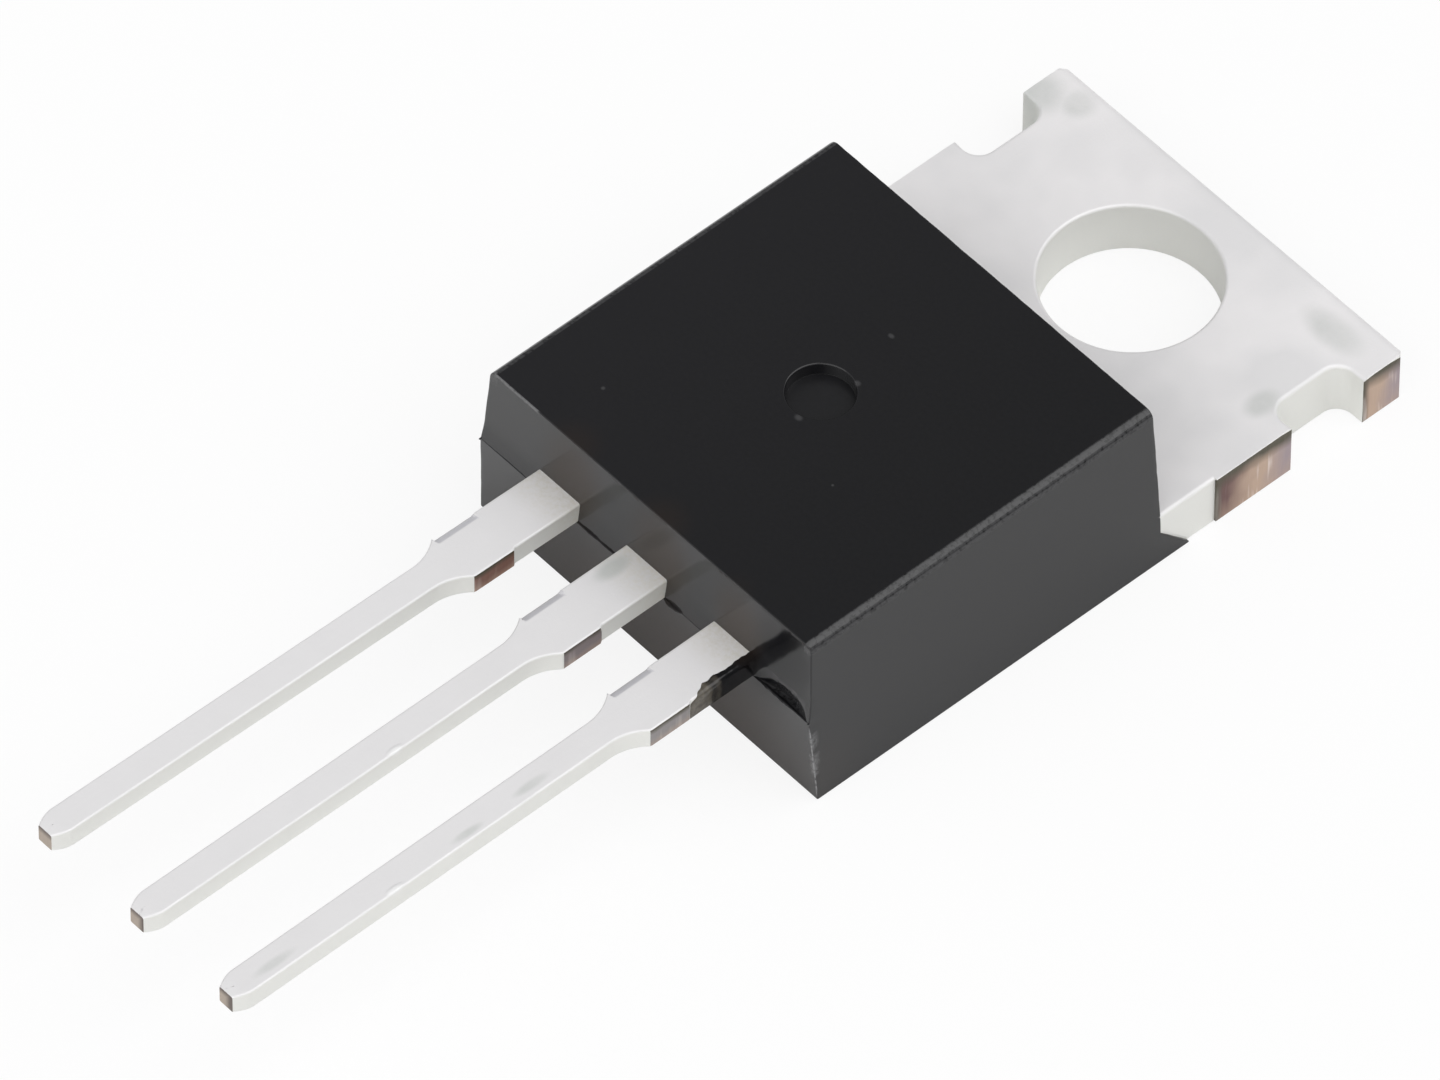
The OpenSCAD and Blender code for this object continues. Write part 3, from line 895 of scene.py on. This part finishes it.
def tabPlate(s):
    fine, kinds = divided(*tabOutline(s), s)
    n = len(fine)
    ahead = [(fine[(i + 1) % n] - fine[i]).normalized() for i in range(n)]
    normals = [Vector((d.y, -d.x)) for d in ahead]
    form = bmesh.new()
    t, steps, margin = s["thickness"], s["rollSteps"], s["margin"]

    # Corner i moved in from both of its edges by what each kind asks for
    def inset(i, reach):
        n1, n2 = normals[i - 1], normals[i]
        a1, a2 = reach(kinds[i - 1]), reach(kinds[i])
        det = n1.x * n2.y - n1.y * n2.x
        if abs(det) < 0.05:
            m = (n1 + n2).normalized()
            return fine[i] - m * ((a1 + a2) / 2) / max(0.5, m.dot(n1))
        return fine[i] + Vector(((-a1 * n2.y + a2 * n1.y) / det, (-a2 * n1.x + a1 * n2.x) / det))

    def ring(part, top, further=0):
        lowered = 1 - math.sin(math.radians(90 * part))
        drawn = 1 - math.cos(math.radians(90 * part))
        made = []
        for i in range(n):
            p = inset(i, lambda kind: s[kind if top else "under"][0] * drawn + further)
            z = s["under"][1] * lowered
            if top:
                z = t - (s[kinds[i - 1]][1] + s[kinds[i]][1]) / 2 * lowered
            made.append(form.verts.new((p.x * mm, p.y * mm, z * mm)))
        return made

    # One more ring inside each rim keeps the flat faces flat in the shading
    lower = [ring(1, False, margin)] + [ring(part, False) for part in (1, 0.5, 0)]
    upper = [ring(k / steps, True) for k in range(steps + 1)] + [ring(1, True, margin)]
    rings = lower + upper
    for first, second in zip(rings, rings[1:]):
        faces = bridged(form, first, second)
        if first is lower[-1]:
            for face, kind in zip(faces, kinds):
                face.material_index = 1 if kind == "cut" else 0
    a, b = s["hole"]
    low = s["under"][0]
    mid = low * s["underRound"]
    profile = [(low + margin, 0), (low, 0), (mid, mid), (0, low)]
    turns = [math.radians(90 * k / steps) for k in range(steps + 1)]
    profile += [(a * (1 - math.cos(q)), t - b * (1 - math.sin(q))) for q in turns] + [(a + margin, t)]
    holes = [ringOf(form, s["holeRadius"] + out, z, s["holePoints"]) for out, z in profile]
    for first, second in zip(holes, holes[1:]):
        bridged(form, second, first)
    for outer, inner in ((rings[0], holes[0]), (rings[-1], holes[-1])):
        bmesh.ops.triangle_fill(form, use_beauty=True, edges=border(form, outer) + border(form, inner))
    bmesh.ops.recalc_face_normals(form, faces=form.faces)
    return form


def makeTab(s):
    tab = newObject("heatTab", meshFrom("heatTab", tabPlate(s)), tinFinish, copperFinish)
    # Lower edges of the moulded-in plate are stepped back, so that the moulding grips it
    x, y = s["plateHalf"] - s["lockIn"], s["plateFront"] + s["lockIn"]
    out, far, foot = s["cutterHalf"], s["plateFront"] - s["cutterPast"], s["cutterFoot"]
    shoulder, top = s["shoulderY"], s["lockHeight"]
    carve(tab, [((-out, far, foot), (-x, shoulder, top)), ((x, far, foot), (out, shoulder, top)),
                ((-out, far, foot), (out, y, top))])
    return evened(tab, s["angle"])


heatTab = makeTab(tabSettings)
joined(heatTab, middleLead)
print("heat tab made")


# The moulded body: two drafted halves that meet at the parting line, with every outer edge eased
bodySettings = {
    "height": 4.36,
    "parting": 2.3,
    "footHalf": 4.93,
    "partingHalf": 4.79,
    "topHalf": 4.66,
    "frontY": -12.79,
    "ledge": 0.05,
    "frontTopIn": 0.11,
    "frontFootIn": 0.13,
    "backY": -3.63,
    "backTopIn": 0.1,
    "tabTop": 1.3,
    "lipHeight": 0.8,
    "lipLength": 0.73,
    "sideEdge": 0.2,
    "sideSegments": 10,
    "easing": 0.03,
    "easingSegments": 3,
    "easedAngle": 20,
    "recessY": -8.2,
    "recessRadius": 0.7,
    "recessDepth": 0.29,
    "recessRim": 0.04,
    "recessFoot": 0.003,
    "recessDraft": 0.01,
    "recessMargin": 0.06,
    "recessWall": (0.02, 0.1),
    "recessFloor": 0.04,
    "recessPoints": 96,
    "recessSquare": 1.1,
    "cuts": [(0, -4.72, 9.44, 0.08), (1, -12.5, 8.7, 0.3), (2, 0.2, 4.0, 0.2)],
    "cutsBeside": {"foot": 0.07, "parting": 0.05, "top": 0.08, "front": 0.25, "back": 0.09, "rounding": 0.08,
                   "side": 0.06},
    "ledgeLeast": 0.003,
    "ledgeFade": 0.4,
    "ledgeReach": 0.2,
    "ledgeWave": (1.3, 4.2),
    "ledgeHigh": (-2.1, -0.5, 0.8),
    "ledgeLow": 0.12,
    "lens": (3.2, 4.7, 0.17),
    "lensPowers": (1.15, 0.9),
    "chip": 0.007,
    "chipLeast": 0.4,
    "chipFine": 0.6,
    "chipsAbove": 0.1,
    "chipsPerMm": (3.1, 8.7),
    "padHalf": 3.9,
    "padFront": -9.75,
    "padOverlap": 0.1,
    "angle": 50,
}


def bodyProfile(s):
    front, back, parting, height = s["frontY"], s["backY"], s["parting"], s["height"]
    backSlope = s["backTopIn"] / (height - s["tabTop"])
    return [(front + s["frontFootIn"], 0), (front, parting), (front + s["ledge"], parting),
            (front + s["ledge"] + s["frontTopIn"], height), (back - s["backTopIn"], height),
            (back - backSlope * (parting - s["tabTop"]), parting), (back, s["tabTop"]),
            (back, s["lipHeight"]), (back + s["lipLength"], 0)]


def draftedBlock(s):
    def halfAt(z):
        low, high, top = s["footHalf"], s["partingHalf"], s["topHalf"]
        if z <= s["parting"]:
            return low + (high - low) * z / s["parting"]
        return high + (top - high) * (z - s["parting"]) / (s["height"] - s["parting"])

    profile = bodyProfile(s)
    form = bmesh.new()
    right, left = [[form.verts.new((side * halfAt(z) * mm, y * mm, z * mm)) for y, z in profile] for side in (1, -1)]
    bridged(form, right, left)
    for side in (right, left):
        form.faces.new([side[i] for i in (0, 1, 2, 5, 6, 7, 8)])
        form.faces.new([side[i] for i in (2, 3, 4, 5)])
    bmesh.ops.recalc_face_normals(form, faces=form.faces)
    # Top edges of the two sides are rounded off, all others only eased
    topFront, topBack = profile[3][0] * mm, profile[4][0] * mm
    sideEdges = [e for e in form.edges if all(abs(v.co.z - s["height"] * mm) < 1e-6 for v in e.verts)
                 and {round(v.co.y, 6) for v in e.verts} == {round(topFront, 6), round(topBack, 6)}]
    bmesh.ops.bevel(form, geom=sideEdges, offset=s["sideEdge"] * mm, offset_type="OFFSET",
                    segments=s["sideSegments"], profile=0.5, affect="EDGES")
    form.normal_update()
    rolled = form.faces.layers.int.new("rolled")
    eased = [e for e in form.edges if len(e.link_faces) == 2 and e.calc_face_angle() > math.radians(s["easedAngle"])
             and not all(abs(v.co.z - s["parting"] * mm) < 1e-7 for v in e.verts)]
    strips = bmesh.ops.bevel(form, geom=eased, offset=s["easing"] * mm, offset_type="OFFSET",
                             segments=s["easingSegments"], profile=0.5, affect="EDGES", clamp_overlap=False)
    for face in strips["faces"]:
        face[rolled] = 1
    return form


# Cross cuts give the edges and the parting line points to vary at, and keep the shading of flat faces flat
def crossCut(form, s):
    square, parting, top, near = s["recessSquare"], s["parting"], s["topHalf"], s["cutsBeside"]
    planes = [(0, x) for x in (-square, square)] + [(1, s["recessY"] + y) for y in (-square, square)]
    for axis, start, length, step in s["cuts"]:
        planes += [(axis, start + step * k) for k in range(int(length / step) + 1)]
    planes += [(2, z) for z in (near["foot"], parting - near["parting"], parting + near["parting"],
                                s["height"] - near["top"])]
    planes += [(1, y) for y in (s["frontY"] + near["front"], s["backY"] - s["backTopIn"] - near["back"])]
    planes += [(0, side * x) for side in (-1, 1)
               for x in (top - s["sideEdge"] - near["rounding"], top - near["side"], s["partingHalf"] - near["side"])]
    for axis, place in planes:
        normal, point = Vector((0, 0, 0)), Vector((0, 0, 0))
        normal[axis], point[axis] = 1, place * mm
        bmesh.ops.bisect_plane(form, geom=form.verts[:] + form.edges[:] + form.faces[:], dist=1e-8,
                               plane_co=point, plane_no=normal)
    form.normal_update()


# Recess of the ejector pin in the upper face
def sinkRecess(form, s):
    topZ, middle, square = s["height"], s["recessY"], s["recessSquare"]
    inside = []
    for face in form.faces:
        x, y, z = face.calc_center_median() / mm
        if face.normal.z > 0.999 and abs(z - topZ) < 1e-3 and max(abs(x), abs(y - middle)) < square:
            inside.append(face)
    chosen = set(inside)
    edges = [e for e in {e for f in inside for e in f.edges} if any(f not in chosen for f in e.link_faces)]
    bmesh.ops.delete(form, geom=inside, context="FACES")
    r, rim, foot, draft = s["recessRadius"], s["recessRim"], s["recessFoot"], s["recessDraft"]
    floor = topZ - s["recessDepth"]
    # Rings from the margin on the upper face over the rolled rim, down the wall and round the foot to the floor
    profile = [(r + rim + s["recessMargin"], topZ)]
    for a in (0, 22.5, 45, 67.5, 90):
        q = math.radians(a)
        profile.append((r + rim * (1 - math.sin(q)), topZ - rim * (1 - math.cos(q))))
    step, part = s["recessWall"]
    profile += [(r - draft * part, topZ - rim - step), (r - draft * (1 - part), floor + foot + step)]
    for a in (0, 45, 90):
        q = math.radians(a)
        profile.append((r - draft - foot * (1 - math.cos(q)), floor + foot * (1 - math.sin(q))))
    profile.append((r - draft - s["recessFloor"] - foot, floor))
    rings = [ringOf(form, radius, z, s["recessPoints"], middle) for radius, z in profile]
    for first, second in zip(rings, rings[1:]):
        bridged(form, first, second)
    centre, last = form.verts.new((0, middle * mm, floor * mm)), rings[-1]
    for i in range(len(last)):
        form.faces.new((last[i - 1], last[i], centre))
    bmesh.ops.triangle_fill(form, use_beauty=True, edges=edges + border(form, rings[0]))
    bmesh.ops.recalc_face_normals(form, faces=form.faces)
    form.normal_update()


# Small chips along the eased edges, and an upper half that sits unevenly on the lower
def roughen(form, s):
    front, parting, fade = s["frontY"], s["parting"], s["ledgeFade"]
    rolled = form.faces.layers.int["rolled"]

    def ledgeAt(x):
        perMm, row = s["ledgeWave"]
        bumpy = noise.noise(Vector((x * perMm, row, 0))) * 0.5 + 0.5
        start, end, deep = s["lens"]
        skew, blunt = s["lensPowers"]
        bowed = deep * math.sin(math.pi * ((x - start) / (end - start)) ** skew) ** blunt if start < x < end else 0
        left, right, high = s["ledgeHigh"]
        tall = high if left < x < right else s["ledgeLow"]
        return s["ledgeLeast"] + (s["ledge"] - s["ledgeLeast"]) * bumpy * tall + bowed

    moves = []
    for v in form.verts:
        x, y, z = v.co / mm
        if parting - 1e-3 < z < parting + fade and y < front + s["ledgeReach"] and abs(y - front) > 1e-3:
            v.co.y += (ledgeAt(x) - s["ledge"]) * (1 - max(0, z - parting) / fade) * mm
        if any(f[rolled] for f in v.link_faces) and z > s["chipsAbove"]:
            coarse, fine = [noise.noise(Vector((x, y, z)) * perMm) for perMm in s["chipsPerMm"]]
            deep = max(0.0, s["chipLeast"] + coarse + s["chipFine"] * fine)
            moves.append((v, v.normal * (-s["chip"] * deep * mm)))
    for v, move in moves:
        v.co += move


# Places of painted light in mm: how far each reaches from its edge, and how strong its painted light is
paintedLightAndPitSettings = {
    "corner": {"reach": 0.022, "heights": (0.2, 0.25), "paintedLight": 1.0},
    "beside": {"reach": 0.034, "heights": (0.3, 0.4), "paintedLight": 0.5, "wave": (7.7, 2.6, -0.05)},
    "edge": {"above": 0.034, "within": 0.03, "leftOf": -3.2, "paintedLight": 0.6},
    "ledge": {"within": 0.01, "behind": (0.03, 0.3), "short": 0.1, "paintedLight": 0.14},
    "rounded": {"inner": 0.02, "paintedLight": 0.15},
    "pitRim": 0.01,
}


# Painted highlights: the lower front corner at the right and the left part of the upper front edge, less so the rest:
# beside that corner, the ledge under the lens and the rounded side edges. The recess is marked as a pit
def paintLightAndMarkPits(piece, s, w):
    corner, beside, edge, ledge, rounded = [w[name] for name in ("corner", "beside", "edge", "ledge", "rounded")]
    topFront = s["frontY"] + s["ledge"] + s["frontTopIn"]

    def paintedLightAt(x, y, z):
        half = s["footHalf"] + (s["partingHalf"] - s["footHalf"]) * z / s["parting"]
        face = s["frontY"] + s["frontFootIn"] * (1 - z / s["parting"])

        def atCorner(place):
            low, high = place["heights"]
            reach = place["reach"]
            return x > half - reach and y < face + reach and low < z < s["parting"] - high

        if atCorner(corner):
            return corner["paintedLight"]
        if z > s["height"] - edge["above"] and y < topFront + edge["within"] and x < edge["leftOf"]:
            return edge["paintedLight"]
        row, perMm, least = beside["wave"]
        if atCorner(beside) and noise.noise(Vector((0, row, z * perMm))) > least:
            return beside["paintedLight"]
        near, far = ledge["behind"]
        if abs(z - s["parting"]) < ledge["within"] and s["frontY"] + near < y < s["frontY"] + far \
                and s["lens"][0] < x < s["lens"][1] - ledge["short"]:
            return ledge["paintedLight"]
        inner = rounded["inner"] - s["sideEdge"]
        return rounded["paintedLight"] if abs(x) > s["topHalf"] + inner and z > s["height"] + inner else 0.0

    places = [v.co / mm for v in piece.data.vertices]
    rim = w["pitRim"]
    pits = [1.0 if math.hypot(x, y - s["recessY"]) < s["recessRadius"] + rim
            and z > s["height"] - s["recessDepth"] - rim else 0.0 for x, y, z in places]
    for name, given in (("paintedLight", [paintedLightAt(*place) for place in places]), ("pit", pits)):
        layer = piece.data.attributes.new(name, "FLOAT", "POINT")
        layer.data.foreach_set("value", given)


def makeBody(s, tab):
    form = draftedBlock(s)
    crossCut(form, s)
    sinkRecess(form, s)
    roughen(form, s)
    body = newObject("mouldedBody", meshFrom("mouldedBody", form), epoxyFinish)
    half, pad, shoulder, foot = tab["sideHalf"], s["padHalf"], tab["shoulderY"], tab["cutterFoot"]
    carve(body, [((-half, shoulder, foot), (half, 0, tab["thickness"])),
                 ((-pad, s["padFront"], foot), (pad, shoulder + s["padOverlap"], tab["lockHeight"]))])
    paintLightAndMarkPits(body, s, paintedLightAndPitSettings)
    return evened(body, s["angle"])


mouldedBody = makeBody(bodySettings, tabSettings)
print("body made")


# Flash: a thin lip of moulding squeezed out along the parting line
flashSettings = {
    "Points": 120,
    "Y": -12.77,
    "Z": 2.31,
    "around": 12,
    "humpPower": 0.7,
    "perMm": 2.6,
    "uneven": (1.6, 0.1),
    "angle": 60,
    "parts": [
        {"From X": -4.72, "To X": -3.2, "Height": 0.02, "Proud": 0.025, "Rough": 0.006, "Seed": 3},
        {"From X": -2.5, "To X": -0.7, "Height": 0.035, "Proud": 0.045, "Rough": 0.015, "Seed": 11},
        {"From X": 0.56, "To X": 1.15, "Height": 0.06, "Proud": 0.11, "Rough": 0.02, "Seed": 17},
        {"From X": 3.1, "To X": 4.76, "Height": 0.04, "Proud": 0.045, "Rough": 0.01, "Seed": 31},
    ],
}
flashLengths = ("From X", "To X", "Y", "Z", "Height", "Proud", "Rough")


def flashTree(s):
    inputs = {"Geometry": "Geometry", **dict.fromkeys(flashLengths, "Float"), "Points": "Int", "Seed": "Int",
              "Finish": "Material"}
    tree, put, out = newGroup("partingFlash", "Geometry", inputs, {"Geometry": "Geometry"})
    start, end = [addField(tree, "ShaderNodeCombineXYZ", {"X": put[label], "Y": put["Y"], "Z": put["Z"]})
                  for label in ("From X", "To X")]
    line = addField(tree, "GeometryNodeCurvePrimitiveLine", {"Start": start, "End": end})
    path = addField(tree, "GeometryNodeResampleCurve", {"Curve": line, "Count": put["Points"]})
    circle = addField(tree, "GeometryNodeCurvePrimitiveCircle", {"Resolution": s["around"], "Radius": 1})
    size = addField(tree, "ShaderNodeCombineXYZ", {"X": put["Proud"], "Y": put["Height"] * 0.5})
    lens = addField(tree, "GeometryNodeTransform", {"Geometry": circle, "Scale": size})
    # Highest in the middle, and uneven along the line
    factor = addField(tree, "GeometryNodeSplineParameter", output="Factor")
    hump = calc("POWER", calc("SINE", factor * math.pi), s["humpPower"])
    x = axes(addField(tree, "GeometryNodeInputPosition"))[0]
    spot = addField(tree, "ShaderNodeCombineXYZ", {"X": x * (s["perMm"] * 1000), "Y": put["Seed"]})
    wave = addField(tree, "ShaderNodeTexNoise", {"Vector": spot, "Scale": 1.0, "Detail": 3.0}, "Fac",
                    noise_dimensions="2D")
    most, least = s["uneven"]
    inputs = {"Curve": path, "Profile Curve": lens, "Scale": hump * (wave * most + least), "Fill Caps": True}
    sweep = addField(tree, "GeometryNodeCurveToMesh", inputs)
    shift = addField(tree, "ShaderNodeCombineXYZ", {"Z": (wave - 0.5) * put["Rough"]})
    moved = addField(tree, "GeometryNodeSetPosition", {"Geometry": sweep, "Offset": shift})
    real = addField(tree, "GeometryNodeRealizeInstances", {0: moved})
    feed(out["Geometry"], addField(tree, "GeometryNodeSetMaterial", {"Geometry": real, "Material": put["Finish"]}))
    layOut(tree)
    return tree


partingTree = flashTree(flashSettings)


def makeFlash(s):
    made = None
    for number, part in enumerate(s["parts"]):
        values = {"Finish": epoxyFinish, "Points": s["Points"], "Seed": part["Seed"]}
        values.update({label: (part[label] if label in part else s[label]) * mm for label in flashLengths})
        name = "flash%d" % number
        one = attachTree(newObject(name, bpy.data.meshes.new(name)), partingTree, values)
        one = evened(frozen(one), s["angle"])
        if made:
            joined(made, one)
        else:
            made = one
    made.name = "partingFlash"
    return made


partingFlash = makeFlash(flashSettings)
print("parting flash made")


# A skin of moulding on the right side of the third lead, lapping over its upper edge
skinSettings = {
    "side": 3.144,
    "low": 2.3,
    "high": 2.8,
    "roll": 0.06,
    "fromY": -12.7,
    "toY": -14.43,
    "lap": 0.13,
    "thick": 0.04,
    "sunk": 0.02,
    "lowerFrom": 0.7,
    "lowerBy": 0.24,
    "endLength": 0.02,
    "thinFrom": (0.6, 0.85),
    "thinRagged": 0.25,
    "ragged": [(2.3, 1.7, 1.0), (7.0, 5.1, 0.5)],
    "lapRagged": (0.75, 0.5),
    "swell": (0.12, 0.4),
    "uneven": (0.85, 0.3, 2.4, 2.2),
    "stations": 90,
    "steps": 22,
    "angle": 60,
}


# Place and outward direction at a distance along the lead's section: up the side, round the roll, then inwards
def skinSection(d, s):
    side, high, roll = s["side"], s["high"], s["roll"]
    flat, arc = high - roll - s["low"], roll * math.pi / 2
    if d < flat:
        return (side, s["low"] + d), (1, 0)
    if d < flat + arc:
        a = (d - flat) / roll
        return (side - roll + roll * math.cos(a), high - roll + roll * math.sin(a)), (math.cos(a), math.sin(a))
    return (side - roll - (d - flat - arc), high), (0, 1)


def skinPiece(s):
    full = s["high"] - s["roll"] - s["low"] + s["roll"] * math.pi / 2
    stations, steps = s["stations"], s["steps"]
    form = bmesh.new()
    sheer = form.verts.layers.float.new("thin")
    outer, inner = [], []
    for i in range(stations + 1):
        u = i / stations
        y = s["fromY"] + (s["toY"] - s["fromY"]) * u
        ragged = sum(part * noise.noise(Vector((y * perMm, row, 0))) for perMm, row, part in s["ragged"])
        lowered = max(0.0, u - s["lowerFrom"]) / (1 - s["lowerFrom"]) * s["lowerBy"]
        least, most = s["lapRagged"]
        top = full + s["lap"] * (least + most * ragged) - lowered
        start, end = s["thinFrom"]
        thin = min(1.0, max(0.0, (u + s["thinRagged"] * ragged - start) / (end - start)))
        blunt = min(1.0, (1 - u) / s["endLength"]) ** 0.5
        outer.append([])
        inner.append([])
        for k in range(steps + 1):
            v = k / steps
            (x, z), (nx, nz) = skinSection(top * v, s)
            foot, power = s["swell"]
            swell = math.sin(math.pi * min(1.0, foot + v * (1 - foot))) ** power if k < steps else 0
            even, by, perMm, row = s["uneven"]
            lift = s["thick"] * swell * blunt * (even + by * noise.noise(Vector((y * perMm, z * perMm, row))))
            vert = form.verts.new(((x + nx * lift) * mm, y * mm, (z + nz * lift) * mm))
            vert[sheer] = thin
            outer[-1].append(vert)
            inner[-1].append(form.verts.new(((x - nx * s["sunk"]) * mm, y * mm, (z - nz * s["sunk"]) * mm)))
    for i in range(stations):
        for k in range(steps):
            form.faces.new((outer[i][k], outer[i][k + 1], outer[i + 1][k + 1], outer[i + 1][k]))
            form.faces.new((inner[i][k], inner[i + 1][k], inner[i + 1][k + 1], inner[i][k + 1]))
        form.faces.new((outer[i][0], outer[i + 1][0], inner[i + 1][0], inner[i][0]))
        form.faces.new((outer[i][steps], inner[i][steps], inner[i + 1][steps], outer[i + 1][steps]))
    for i in (0, stations):
        for k in range(steps):
            form.faces.new((outer[i][k], inner[i][k], inner[i][k + 1], outer[i][k + 1]))
    bmesh.ops.recalc_face_normals(form, faces=form.faces)
    return evened(newObject("leadSkin", meshFrom("leadSkin", form), epoxyFinish), s["angle"])


leadSkin = skinPiece(skinSettings)
print("lead skin made")

# Pieces sealed in the body keep their own solids
for name, finish in (("die_solder", solderFinish), ("silicon_die", siliconFinish), ("base_wire", wireFinish),
                     ("emitter_wire_inner", wireFinish), ("emitter_wire_outer", wireFinish)):
    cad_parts[name].data.materials.clear()
    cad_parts[name].data.materials.append(finish)

for piece, nodes, slot in ((mouldedBody, ["moulded_body"], "moulding"), (partingFlash, ["moulded_body"], "moulding"),
                           (leadSkin, ["moulded_body"], "moulding"), (heatTab, ["heat_tab"], "tin_plate"),
                           (baseLead, ["base_lead"], "tin_plate"), (emitterLead, ["emitter_lead"], "tin_plate")):
    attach(piece, "root")
    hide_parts(*nodes)
